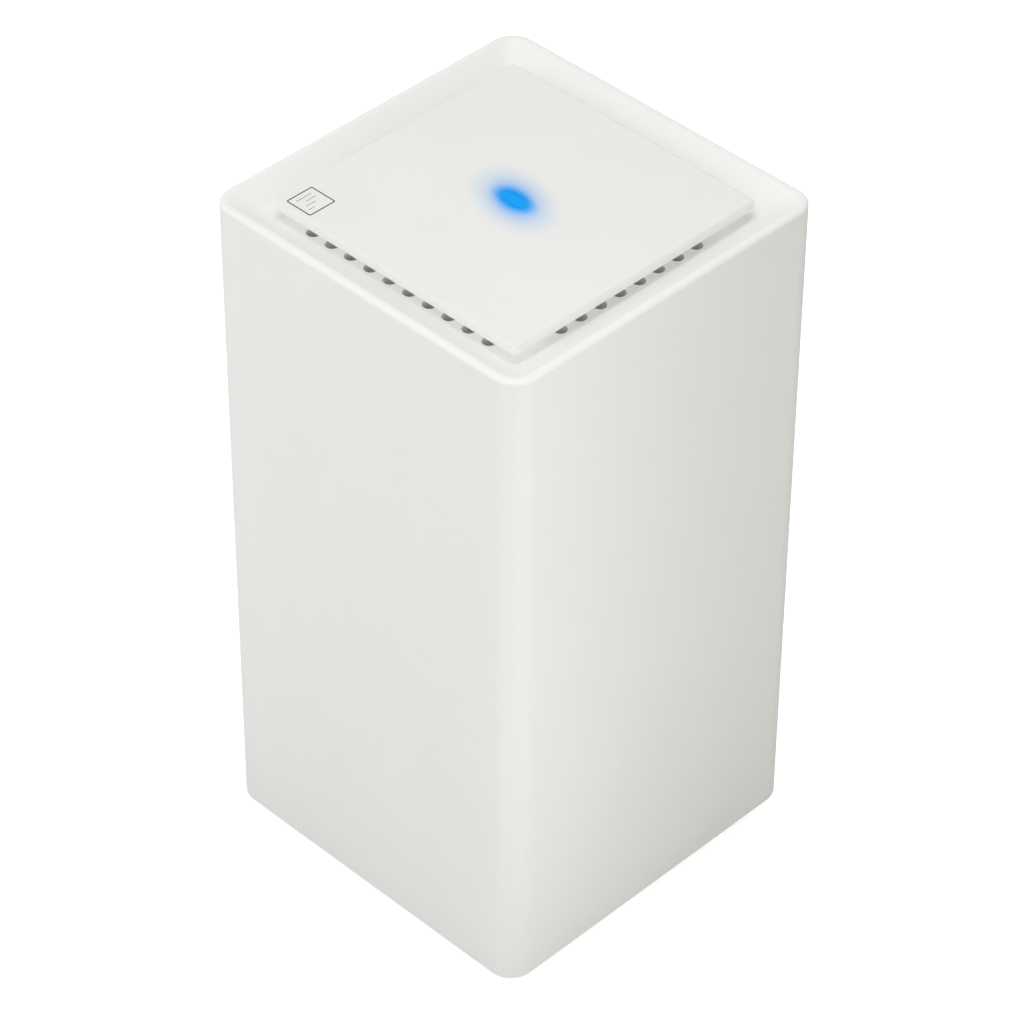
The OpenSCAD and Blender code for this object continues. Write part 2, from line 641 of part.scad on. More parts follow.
module power_inlet() color("dimgray") difference() {
    union() {
        box([board_x, jack_y - inlet_d, inlet_z - inlet_w / 2],
            [board_x + inlet_h, panel_in_y - 0.2, inlet_z + inlet_w / 2]);
        translate([0, jack_y - 8, inlet_z]) rotate([-90, 0, 0]) cylinder(h = 8, r = inlet_nose_r);
    }
    translate([0, jack_y - 10, inlet_z]) rotate([-90, 0, 0]) cylinder(h = 20, r = inlet_bore_r);
    bevel_round(inlet_z, inlet_bore_r, jack_y, 0.3);
}

module power_inlet_pin() color("silver") translate([0, jack_y - 10, inlet_z]) rotate([-90, 0, 0]) {
    cylinder(h = 8.4, r = inlet_pin_r);
    translate([0, 0, 8.4 - eps]) cylinder(h = 0.6, r1 = inlet_pin_r, r2 = 0.6);
}

module panel_window(z, w, h, gap = 0.25) {
    x = [board_x - gap, board_x + h + gap];
    box([x[0], panel_in_y - 1, z - w / 2 - gap], [x[1], half + 1, z + w / 2 + gap]);
    bevel_mouth(x[0], x[1], z - w / 2 - gap, z + w / 2 + gap, panel_out_y, mouth_c);
}

module port_panel() color("whitesmoke") difference() {
    mid_z = (shell_z + panel_top) / 2;
    union() {
        difference() {
            translate([0, 0, mid_z - 5]) upright_plate(
                panel_w - 2 * panel_gap, panel_top - shell_z + 10 - 2 * panel_gap,
                panel_out_y - panel_step_y, 5 - panel_gap, panel_step_y);
            box([-40, 0, -20], [40, 60, shell_z]);
        }
        translate([0, 0, (plate_z + 0.2 + panel_top + 4) / 2])
            upright_plate(panel_w + 8, panel_top + 4 - plate_z - 0.2,
                          panel_step_y - panel_in_y, 1, panel_in_y);
    }
    panel_window((lan_span[0] + lan_span[1]) / 2, lan_span[1] - lan_span[0], jack_h);
    panel_window(wan_z, jack_w, jack_h);
    for (h = [[inlet_z, inlet_nose_r + 0.25], [pair_z, 4.3], [reset_z, 1]]) {
        translate([0, panel_in_y - 1, h[0]]) rotate([-90, 0, 0]) cylinder(h = 9, r = h[1]);
        bevel_round(h[0], h[1], panel_out_y, min(mouth_c, h[1] / 3));
    }
    translate([0, panel_in_y - 1, pair_z]) rotate([-90, 0, 0]) cylinder(h = 3, r = 5.8);
    for (i = [0:3], s = [-1, 1]) translate([s * 8.5, 0, 12 + i * 5])
        upright_plate(13, 2, 10, 0.99, panel_in_y - 1);
}

module pair_button() color("white") translate([0, 0, pair_z]) rotate([-90, 0, 0]) {
    translate([0, 0, panel_in_y + 1]) cylinder(h = panel_out_y - panel_in_y - 0.9, r = 4);
    translate([0, 0, panel_out_y + 0.1 - eps]) cylinder(h = 0.4, r1 = 4, r2 = 3.65);
    translate([0, 0, panel_in_y + 0.7]) cylinder(h = 1, r = 5.4);
    translate([0, 0, panel_in_y - 1.4]) cylinder(h = 3, r = 1.7);
}

// Side-push switch: body on the board, plunger towards the rear
module switch_body(z) difference() {
    box([board_x, 42, z - 4], [board_x + 10, 46.5, z + 4]);
    translate([0, 43.8, z]) rotate([-90, 0, 0]) cylinder(h = 5, r = 2);
}
module pair_switch() color("black") switch_body(pair_z);
module pair_plunger() color("white") translate([0, 45.1, pair_z]) rotate([-90, 0, 0])
    cylinder(h = panel_in_y - 1.4 - 45.1, r = 1.7);
module reset_switch() color("black") switch_body(reset_z);
module reset_plunger() color("white") translate([0, 44.8, reset_z]) rotate([-90, 0, 0])
    cylinder(h = panel_in_y - 0.6 - 44.8, r = 1.7);

module board_connectors() color("ivory") {
    chip(-39, 38.5, 6, 7, 5.6);
    difference() {
        chip(flex_y - 4.5, 176, 9, 6.6, 5);
        box([-2.9, flex_y - 3.4, 180], [-2.2, flex_y + 3.4, 184]);
    }
    for (y = antenna_plug_y) translate([board_x, y, 179]) rotate([0, 90, 0]) cylinder(h = 0.7, r = 1.2);
    difference() {
        translate([flex_top_x - 1, flex_y - 4, led_board_z - led_board_t - 2.4]) cube([5, 8, 2.4]);
        translate([flex_top_x, flex_y - 3.4, led_board_z - led_board_t - 2]) cube([6, 6.8, 0.7]);
    }
}

// ---------- antennas ----------

module on_walls() for (a = antenna_at) translate([a[0], a[1], 0]) rotate([0, 0, a[2]]) children();

module antenna_boards() color("seagreen") on_walls() box([0, -7, 122], [0.8, 7, 180]);

module antenna_elements() color("goldenrod") on_walls() difference() {
    box([0.8, -6, 140], [1, 6, 178]);
    box([0.5, -2.6, 146], [1.5, 6.5, 150]);
    box([0.5, -6.5, 154], [1.5, 2.6, 158]);
    box([0.5, -2.6, 162], [1.5, 6.5, 166]);
    box([0.5, -6.5, 170], [1.5, 2.6, 174]);
}

module antenna_leads() color("black") for (r = antenna_routes) tube(smooth(r, 4), 0.6, 8, [0.15, 1, 0.35]);

module antenna_plugs() color("gold") for (y = antenna_plug_y) translate([board_x + 0.7, y, 179]) {
    rotate([0, 90, 0]) cylinder(h = 1.3, r = 1.3);
    box([0.2, -0.7, 0.5], [1.3, 0.7, 1.8]);
}

// ---------- fan ----------

module fan_frame() color("black") difference() {
    union() {
        for (z = [fan_z, fan_z + fan_h - 3.5]) translate([0, 0, z]) difference() {
            round_plate(fan_w, fan_w, 3.5, 3);
            translate([0, 0, -1]) cylinder(h = 6, r = fan_bore_r);
        }
        translate([0, 0, fan_z]) difference() {
            cylinder(h = fan_h, r = fan_w / 2);
            translate([0, 0, -1]) cylinder(h = fan_h + 2, r = fan_bore_r);
        }
        for (a = [45:90:315]) rotate([0, 0, a]) box([12, -1.6, fan_z], [fan_bore_r + 0.5, 1.6, fan_z + 2]);
        translate([0, 0, fan_z]) cylinder(h = 2, r = 15);
        translate([0, 0, fan_z + 2 - eps]) cylinder(h = 8.6, r = 4);
    }
    translate([0, 0, fan_z + 1.2]) cylinder(h = 20, r = 2.5);
    at_corners(fan_hole_at, fan_hole_at) translate([0, 0, fan_z - 1]) cylinder(h = fan_h + 2, r = 2.1);
}

module fan_bearing() color("peru") difference() {
    translate([0, 0, fan_z + 1.4]) cylinder(h = 9, r = 2.5);
    translate([0, 0, fan_z]) cylinder(h = 14, r = shaft_r + shaft_clearance);
}

module fan_shaft() color("silver") translate([0, 0, fan_z + 1.6]) cylinder(h = 11.4, r = shaft_r);

module fan_rotor() color("dimgray") {
    difference() {
        translate([0, 0, fan_z + 3]) cylinder(h = 11, r = hub_r);
        translate([0, 0, fan_z + 2]) cylinder(h = 10.6, r = hub_r - 1.2);
        translate([0, 0, fan_z + 2]) cylinder(h = 11, r = shaft_r);
    }
    difference() {
        translate([0, 0, fan_z + 11]) cylinder(h = 2, r = 3);
        translate([0, 0, fan_z + 2]) cylinder(h = 11, r = shaft_r);
    }
    for (i = [0:blade_n - 1]) rotate([0, 0, i * 360 / blade_n]) translate([0, 0, fan_z + 3.2])
        linear_extrude(height = 10.4, twist = 40, slices = 10, $fn = 8)
            translate([hub_r - 0.6, -0.7]) square([fan_bore_r - 1.2 - hub_r + 0.6, 1.4]);
}

module fan_magnet() color("gray") difference() {
    translate([0, 0, fan_z + 4]) cylinder(h = 7.6, r = hub_r - 1.2);
    translate([0, 0, fan_z + 3]) cylinder(h = 10, r = hub_r - 2.6);
}

module fan_stator() color("silver") difference() {
    union() {
        translate([0, 0, fan_z + 5]) cylinder(h = 4.6, r = 6);
        for (a = [0:90:270]) rotate([0, 0, a]) box([5, -1.5, fan_z + 5], [12, 1.5, fan_z + 9.6]);
        for (a = [0:90:270]) rotate([0, 0, a]) intersection() {
            translate([0, 0, fan_z + 5]) difference() {
                cylinder(h = 4.6, r = 13.6);
                translate([0, 0, -1]) cylinder(h = 7, r = 11.8);
            }
            box([5, -7, fan_z], [15, 7, fan_z + 12]);
        }
    }
    translate([0, 0, fan_z + 3]) cylinder(h = 10, r = 4.02);
}

module fan_windings() color("chocolate") for (a = [0:90:270]) rotate([0, 0, a]) difference() {
    box([6.6, -3, fan_z + 3.8], [11.3, 3, fan_z + 10.6]);
    box([6, -1.5, fan_z + 5], [12, 1.5, fan_z + 9.6]);
}

module fan_circuit() color("darkgreen") difference() {
    translate([0, 0, fan_z + 2]) cylinder(h = 0.8, r = 13.5);
    translate([0, 0, fan_z + 1]) cylinder(h = 3, r = 4);
}

module fan_screws() color("silver") at_corners(fan_hole_at, fan_hole_at)
    translate([0, 0, fan_z + fan_h]) screw(2.9, 1.6, 1.4, 17);

module fan_lead() color("black") tube(smooth(fan_lead_route, 4), 0.9, 8, [0.3, 1, 0.4]);

module fan_plug() color("ivory") box([board_x + 5.6, -38.6, 39], [2.2, -33.4, 45]);

// ---------- draw ----------

outer_shell();
top_lid();
light_guide();
light_gasket();
led_board();
led_chips();
led_screws();
led_flex_cable();
port_panel();
pair_button();
pair_switch();
pair_plunger();
reset_switch();
reset_plunger();
base_plate();
rubber_feet();
base_screws();
frame_screws();
rating_label();
inner_frame();
main_board();
board_screws();
processor();
memory_chips();
small_chips();
radio_shields();
thermal_pads();
front_heatsink();
back_heatsink();
heatsink_screws();
heatsink_springs();
capacitors();
inductors();
line_transformers();
lan_jack();
lan_jack_shield();
lan_contacts();
wan_jack();
wan_jack_shield();
wan_contacts();
jack_lamps();
power_inlet();
power_inlet_pin();
antenna_boards();
antenna_elements();
antenna_leads();
antenna_plugs();
fan_frame();
fan_rotor();
fan_shaft();
fan_magnet();
fan_bearing();
fan_stator();
fan_windings();
fan_circuit();
fan_screws();
fan_lead();
fan_plug();
board_connectors();
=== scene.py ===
"""Looks of the tower router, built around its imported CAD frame. Metres, +Z up, front towards -Y."""

import json
import math

import bmesh
import bpy
from mathutils import Matrix, Vector


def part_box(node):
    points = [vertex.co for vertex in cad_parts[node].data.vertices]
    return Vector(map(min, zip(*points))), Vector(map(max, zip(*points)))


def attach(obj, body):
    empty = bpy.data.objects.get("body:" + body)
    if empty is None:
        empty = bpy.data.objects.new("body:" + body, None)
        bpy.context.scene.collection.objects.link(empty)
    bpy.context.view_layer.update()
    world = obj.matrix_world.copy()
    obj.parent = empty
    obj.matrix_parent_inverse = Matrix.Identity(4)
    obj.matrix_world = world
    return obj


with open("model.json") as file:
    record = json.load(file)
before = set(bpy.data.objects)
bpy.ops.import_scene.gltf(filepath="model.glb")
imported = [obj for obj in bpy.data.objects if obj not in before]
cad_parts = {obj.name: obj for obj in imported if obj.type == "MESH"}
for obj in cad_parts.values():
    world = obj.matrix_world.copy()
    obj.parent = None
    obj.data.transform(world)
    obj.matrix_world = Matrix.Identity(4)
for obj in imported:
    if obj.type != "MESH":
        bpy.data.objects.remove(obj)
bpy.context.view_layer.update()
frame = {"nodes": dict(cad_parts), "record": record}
nodes = frame["nodes"]

MM = 0.001
INK_LOW, INK_HIGH = 0.002, 0.03  # bottom and top of the print above its face, in millimetres
DECK_DEPTH = 5.9  # the shell's deck below its rim, in millimetres
FLOOR_REACH = 6
BACKDROP_REACH = 9  # further off, the cameras of the other views would clip it
TONE_DRIFT = (28, 3, 0.55)  # scale, detail and roughness of the slow drift of tone in plastic

shell_low, shell_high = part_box("outer_shell")
lid_low, lid_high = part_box("top_lid")
panel_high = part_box("port_panel")[1]


# ---------- camera ----------

def make_camera():
    """Camera at the photograph's angle: long lens, above the front corner between -Y and +X."""
    azimuth, elevation, roll = (math.radians(v) for v in (44.571, 40.178, 0.383))
    distance, drop = 1.1812, 0.54 * MM
    back = Vector((
        math.sin(azimuth) * math.cos(elevation),
        -math.cos(azimuth) * math.cos(elevation),
        math.sin(elevation),
    ))
    side = (-back).cross(Vector((0, 0, 1))).normalized()
    rise = side.cross(-back)
    right = side * math.cos(roll) + rise * math.sin(roll)
    up = rise * math.cos(roll) - side * math.sin(roll)
    target = Vector((0, 0, (shell_low.z + shell_high.z) / 2))
    data = bpy.data.cameras.new("camera")
    data.lens = 154.56
    data.sensor_width = 36
    data.clip_start = 0.05
    data.clip_end = 20
    camera = bpy.data.objects.new("camera", data)
    bpy.context.scene.collection.objects.link(camera)
    place = target + back * distance - up * drop
    camera.matrix_world = Matrix((
        (right.x, up.x, back.x, place.x),
        (right.y, up.y, back.y, place.y),
        (right.z, up.z, back.z, place.z),
        (0, 0, 0, 1),
    ))
    bpy.context.scene.camera = camera


# ---------- studio ----------

def area_light(name, place, aim, size, power, color=(1, 1, 1)):
    """Soft box at place, turned to aim, seen by the object but not by the camera."""
    data = bpy.data.lights.new(name, "AREA")
    data.shape = "RECTANGLE"
    data.size, data.size_y = size
    data.energy = power
    data.color = color
    light = bpy.data.objects.new(name, data)
    light.location = place
    light.rotation_euler = (Vector(aim) - Vector(place)).to_track_quat("-Z", "Y").to_euler()
    light.visible_camera = False
    bpy.context.scene.collection.objects.link(light)


def stage_mesh(name, points, faces, base, glow, only_camera):
    """Part of the studio. A camera-only piece gives the plain white view and takes no part in the light."""
    mesh = bpy.data.meshes.new(name)
    mesh.from_pydata(points, [], faces)
    obj = bpy.data.objects.new(name, mesh)
    bpy.context.scene.collection.objects.link(obj)
    g = Graph(name)
    g.set(Base_Color=(base, base, base, 1), Roughness=0.9)
    g.set(Emission_Color=(1, 1, 1, 1), Emission_Strength=glow)
    mesh.materials.append(g.material)
    if not only_camera:
        # Painted shade: the bounce plane is duller near the object, standing in for the floor's shade there,
        # so the object's faces darken towards their feet
        away = g.node("VectorMath", {0: g.place}, operation="LENGTH").outputs["Value"]
        g.link(g.remap(away, 0.08, 0.34, 0.7, base), "Base Color")
    obj.visible_camera = only_camera
    for kind in ("diffuse", "glossy", "transmission", "shadow"):
        setattr(obj, "visible_" + kind, not only_camera)


def square(half, z):
    """Points and face of a level square about the Z axis."""
    return [(-half, -half, z), (half, -half, z), (half, half, z), (-half, half, z)], [(0, 1, 2, 3)]


def drum(n, radius, low):
    """Closed drum with n sides, as tall as its radius, with its bottom at low."""
    points = [(x, y, z) for z in (low, radius) for x, y in disc(0, 0, radius, n)]
    sides = [(i, (i + 1) % n, (i + 1) % n + n, i + n) for i in range(n)]
    return points, sides + [tuple(range(2 * n - 1, n - 1, -1)), tuple(range(n))]


def make_studio():
    """A bright white room. The object sees its lights and the bounce, the camera its floor and backdrop."""
    world = bpy.data.worlds.new("studio")
    world.use_nodes = True
    background = world.node_tree.nodes["Background"]
    background.inputs["Color"].default_value = (1, 1, 0.985, 1)
    background.inputs["Strength"].default_value = 0.505
    bpy.context.scene.world = world
    bpy.context.scene.view_settings.view_transform = "Standard"

    # Soft boxes far off: above, above the front, and low to the left
    core = (0, 0, 0.11)
    area_light("overhead", (0, 0, 1.51), core, (0.8, 0.8), 4.8, (1.0, 1.0, 0.97))
    area_light("front_high", (0, -0.479, 1.426), core, (0.8, 0.8), 2.9)
    area_light("left_low", (-0.956, -0.956, 0.472), core, (0.8, 0.8), 1.87, (0.92, 0.98, 1.1))
    # Upright strips close by, which roll the tone round the front corner
    for side, place, aim, size, power, color in (
        ("left", (-0.12, -0.3, 0.215), (-0.03, 0, 0.215), (0.15, 0.4), 0.117, (1.07, 1.0, 0.9)),
        ("right", (0.22, -0.055, 0.215), (0.045, -0.04, 0.215), (0.15, 0.4), 0.027, (1.25, 1.25, 0.5)),
        ("corner", (0.13, -0.07, 0.215), (0.045, -0.045, 0.215), (0.06, 0.4), 0.050, (0.96, 0.99, 1.02)),
    ):
        area_light(side + "_strip", place, aim, size, power, color)
    # A little light on the foot of the right face
    area_light("right_low", (0.22, -0.12, 0.05), (0.05, -0.03, 0.03), (0.12, 0.12), 0.011, (1.08, 1.0, 0.85))
    # Daylight that comes through the lid's milky plastic and fills the recess under its near edges
    under = lid_high.z - 2.7 * MM
    area_light("through_lid_front", (0, -0.0355, under), (0, -0.0355, 0), (0.085, 0.014), 0.00115)
    area_light("through_lid_side", (0.0355, 0, under), (0.0355, 0, 0), (0.014, 0.085), 0.00085)

    stage_mesh("floor", *square(FLOOR_REACH, 0), base=0.9, glow=0.7, only_camera=True)
    stage_mesh("bounce", *square(FLOOR_REACH, -0.5 * MM), base=0.9, glow=0, only_camera=False)
    stage_mesh("backdrop", *drum(32, BACKDROP_REACH, -10 * MM), base=0, glow=1, only_camera=True)


# ---------- materials ----------

class Graph:
    """A material's node tree, with short calls for the nodes used here."""

    def __init__(self, name):
        self.material = bpy.data.materials.new(name)
        self.material.use_nodes = True
        self.tree = self.material.node_tree
        self.shader = self.tree.nodes["Principled BSDF"]
        self.place = self.tree.nodes.new("ShaderNodeTexCoord").outputs["Object"]

    def node(self, kind, inputs=(), **settings):
        node = self.tree.nodes.new("ShaderNode" + kind)
        for key, value in settings.items():
            setattr(node, key, value)
        for key, value in dict(inputs).items():
            if isinstance(value, bpy.types.NodeSocket):
                self.tree.links.new(value, node.inputs[key])
            else:
                node.inputs[key].default_value = value
        return node

    def link(self, output, socket):
        self.tree.links.new(output, self.shader.inputs[socket])

    def set(self, **values):
        for key, value in values.items():
            self.shader.inputs[key.replace("_", " ")].default_value = value

    def stretched(self, scale):
        return self.node("Mapping", {"Vector": self.place, "Scale": scale}).outputs["Vector"]

    def noise(self, scale, detail=3, rough=0.5, vector=None):
        return self.node("TexNoise", {
            "Vector": vector or self.place, "Scale": scale, "Detail": detail, "Roughness": rough,
        }).outputs["Fac"]

    def ramp(self, factor, stops):
        node = self.node("ValToRGB", {"Fac": factor})
        elements = node.color_ramp.elements
        while len(elements) < len(stops):
            elements.new(0.5)
        for element, (at, color) in zip(elements, stops):
            element.position = at
            element.color = (*color, 1)
        return node.outputs["Color"]

    def remap(self, value, low, high, to_low, to_high):
        return self.node("MapRange", {
            "Value": value, "From Min": low, "From Max": high, "To Min": to_low, "To Max": to_high,
        }).outputs["Result"]

    def math(self, operation, a, b=0.0):
        return self.node("Math", {0: a, 1: b}, operation=operation).outputs["Value"]

    def mix(self, factor, a, b):
        return self.node("Mix", {0: factor, 6: a, 7: b}, data_type="RGBA").outputs[2]

    def bump(self, height, strength, distance):
        inputs = {"Height": height, "Strength": strength, "Distance": distance}
        return self.node("Bump", inputs).outputs["Normal"]

    def mottle(self, pattern, color, dark, light, at=(0.3, 0.7)):
        """Colour that drifts between a darker and a lighter shade of itself."""
        stops = [(at[0], shade(color, dark)), (at[1], shade(color, light))]
        return self.ramp(self.noise(*pattern), stops)


def shade(color, factor):
    """The colour times a factor, no lighter than white."""
    return tuple(min(1, c * factor) for c in color)


def under_deck(g):
    """1 on the walls of the exhaust holes and on the deck's underside, else 0: the mask of the painted shade
    there.
    """
    xyz = g.node("SeparateXYZ", {"Vector": g.place}).outputs
    out = g.math("MAXIMUM", g.math("ABSOLUTE", xyz["X"]), g.math("ABSOLUTE", xyz["Y"]))
    within = g.remap(out, 47 * MM, 48 * MM, 1.0, 0.0)
    deck = shell_high.z - DECK_DEPTH * MM
    below = g.remap(xyz["Z"], deck - 0.5 * MM, deck - 0.2 * MM, 1.0, 0.0)
    return g.math("MULTIPLY", within, below)


def plastic(name, color, rough=0.45, grain=2600, depth=0.006, vary=0.02, spec=0.5, inner=None):
    """Moulded plastic: fine spark-eroded grain, a slow drift of tone and of gloss. Where inner is given, it
    is painted shade on the hole walls and the deck's underside.
    """
    g = Graph(name)
    tone = g.mottle(TONE_DRIFT, color, 1 - vary, 1 + vary / 2)
    # Painted shade: inner, a darker and warmer colour, is mixed in on the hole walls and the deck's underside
    g.link(g.mix(under_deck(g), tone, (*inner, 1)) if inner else tone, "Base Color")
    g.link(g.remap(g.noise(140, 4, 0.6), 0.3, 0.7, rough - 0.04, rough + 0.05), "Roughness")
    g.link(g.bump(g.noise(grain, 2, 0.6), 0.5, depth * MM), "Normal")
    g.set(Specular_IOR_Level=spec)
    return g.material


def metal(name, color, rough=0.32, stretch=(1, 1, 1), scale=900, vary=0.12, depth=0.01):
    """Worked metal: drawn lines where stretch is uneven, else a fine rolled grain, with dull patches."""
    g = Graph(name)
    lines = g.noise(scale, 4, 0.6, g.stretched(stretch))
    g.link(g.mottle((90, 3, 0.6), color, 1 - vary, 1, (0.3, 0.75)), "Base Color")
    g.link(g.remap(lines, 0.3, 0.7, rough - 0.09, rough + 0.12), "Roughness")
    g.link(g.bump(lines, 0.35, depth * MM), "Normal")
    g.set(Metallic=1.0)
    return g.material


def board(name, mask, trace, pitch=1.4):
    """Circuit board: solder mask over runs of copper, with lighter tracks and plated dots."""
    g = Graph(name)
    cells = g.node("TexBrick", {
        "Vector": g.stretched((1000 / pitch,) * 3), "Color1": (0, 0, 0, 1), "Color2": (0.35, 0.35, 0.35, 1),
        "Mortar": (1, 1, 1, 1), "Scale": 0.5, "Mortar Size": 0.05, "Brick Width": 3.0, "Row Height": 0.7,
    })
    dots = g.node("TexVoronoi", {"Vector": g.place, "Scale": 420.0}, feature="F1").outputs["Distance"]
    tone = g.ramp(cells.outputs["Fac"], [(0.0, mask), (0.6, shade(mask, 1.25)), (1.0, trace)])
    via = g.remap(dots, 0.10, 0.14, 1.0, 0.0)
    g.link(g.mix(via, tone, (0.62, 0.55, 0.36, 1)), "Base Color")
    g.link(g.remap(g.noise(300), 0.3, 0.7, 0.28, 0.42), "Roughness")
    g.link(g.bump(cells.outputs["Fac"], 0.4, 0.02 * MM), "Normal")
    return g.material


def rubber(name, color, rough=0.8):
    """Rubber, foam or cable sheath: uneven and dull, with a coarse grain."""
    g = Graph(name)
    g.link(g.mottle((60, 4, 0.6), color, 0.85, 1.2), "Base Color")
    g.link(g.remap(g.noise(400, 3), 0.3, 0.7, rough - 0.08, rough + 0.06), "Roughness")
    g.link(g.bump(g.noise(1800, 3, 0.7), 0.6, 0.02 * MM), "Normal")
    g.set(Specular_IOR_Level=0.3)
    return g.material


def capsule(g, along, across, half):
    """Distance in the plane to a segment of the given half length that lies along the first axis."""
    past = g.math("MAXIMUM", g.math("SUBTRACT", g.math("ABSOLUTE", along), half), 0.0)
    return g.math("SQRT", g.math("ADD", g.math("POWER", past, 2.0), g.math("POWER", across, 2.0)))


def reach(g, x, y, lean, squash):
    """Distance from the middle on a leaning ellipse, in millimetres along its long axis."""
    lean = math.radians(lean)
    along = g.math("ADD", g.math("MULTIPLY", x, math.cos(lean)), g.math("MULTIPLY", y, math.sin(lean)))
    across = g.math("SUBTRACT", g.math("MULTIPLY", y, math.cos(lean)), g.math("MULTIPLY", x, math.sin(lean)))
    across = g.math("MULTIPLY", across, squash)
    return g.math("SQRT", g.math("ADD", g.math("POWER", along, 2.0), g.math("POWER", across, 2.0)))


def fading(g, x, y, lean, squash, end, steps):
    """Strength that falls off from the middle of a leaning ellipse, to nothing at its end, in millimetres."""
    return g.ramp(g.math("DIVIDE", reach(g, x, y, lean, squash), end), [(at, (v,) * 3) for at, v in steps])


def lid_material():
    """The lid's milky plastic, with a painted glow of the light beneath its middle: a blue core in a leaning
    soft halo.
    """
    g = Graph("lid_white")
    in_mm = g.node("VectorMath", {0: g.place, 1: (1 / MM,) * 3}, operation="MULTIPLY").outputs["Vector"]
    x, y, z = g.node("SeparateXYZ", {"Vector": in_mm}).outputs
    top = lid_high.z / MM
    halo = fading(g, x, y, -19, 1.55, 17.6, (
        (0.36, 0.66), (0.43, 0.50), (0.52, 0.345), (0.62, 0.225),
        (0.72, 0.14), (0.82, 0.068), (0.92, 0.02), (1, 0)))
    core = fading(g, x, y, -9, 1.70, 10.7, (
        (0.36, 1), (0.44, 0.97), (0.54, 0.86), (0.64, 0.68), (0.76, 0.44), (0.9, 0.2), (1, 0)))
    glow = g.math("MULTIPLY", g.math("MAXIMUM", halo, core), g.remap(z, top - 0.6, top - 0.4, 0.0, 1.0))
    # The light guide's outline, a slightly darker line of the painted glow round the core
    guide_half, guide_radius = 2.6, 1.9
    rim = g.math("ABSOLUTE", g.math("SUBTRACT", capsule(g, x, y, guide_half), guide_radius))
    rim = g.math("MULTIPLY", g.remap(rim, 0.1, 0.7, 1.0, 0.0), g.remap(glow, 0.85, 1.0, 0.0, 1.0))

    # Painted light: the sides and underside get a lighter base colour than the top, standing in for the light
    # that brightens the lid's sides
    plain = g.ramp(g.noise(*TONE_DRIFT), [(0.3, (0.85, 0.85, 0.842)), (0.7, (0.87, 0.87, 0.862))])
    plain = g.mix(g.remap(z, top - 0.8, top - 0.3, 0.0, 1.0), (0.97, 0.97, 0.962, 1), plain)
    # Painted glow: under the glow mask the base colour turns dark blue and the emission blue, standing in for
    # the LED's light through the lid
    glow_base_blue, lit_blue, rim_blue = (0.002, 0.125, 0.23, 1), (0.003, 0.33, 1.0, 1), (0.002, 0.25, 0.90, 1)
    g.link(g.mix(glow, plain, glow_base_blue), "Base Color")
    g.link(g.mix(rim, lit_blue, rim_blue), "Emission Color")
    g.link(g.math("MULTIPLY", glow, 0.69), "Emission Strength")
    g.link(g.remap(g.noise(140, 4, 0.6), 0.3, 0.7, 0.42, 0.5), "Roughness")
    g.link(g.bump(g.noise(2600, 2, 0.6), 0.5, 0.004 * MM), "Normal")
    g.set(Specular_IOR_Level=0.12)
    return g.material


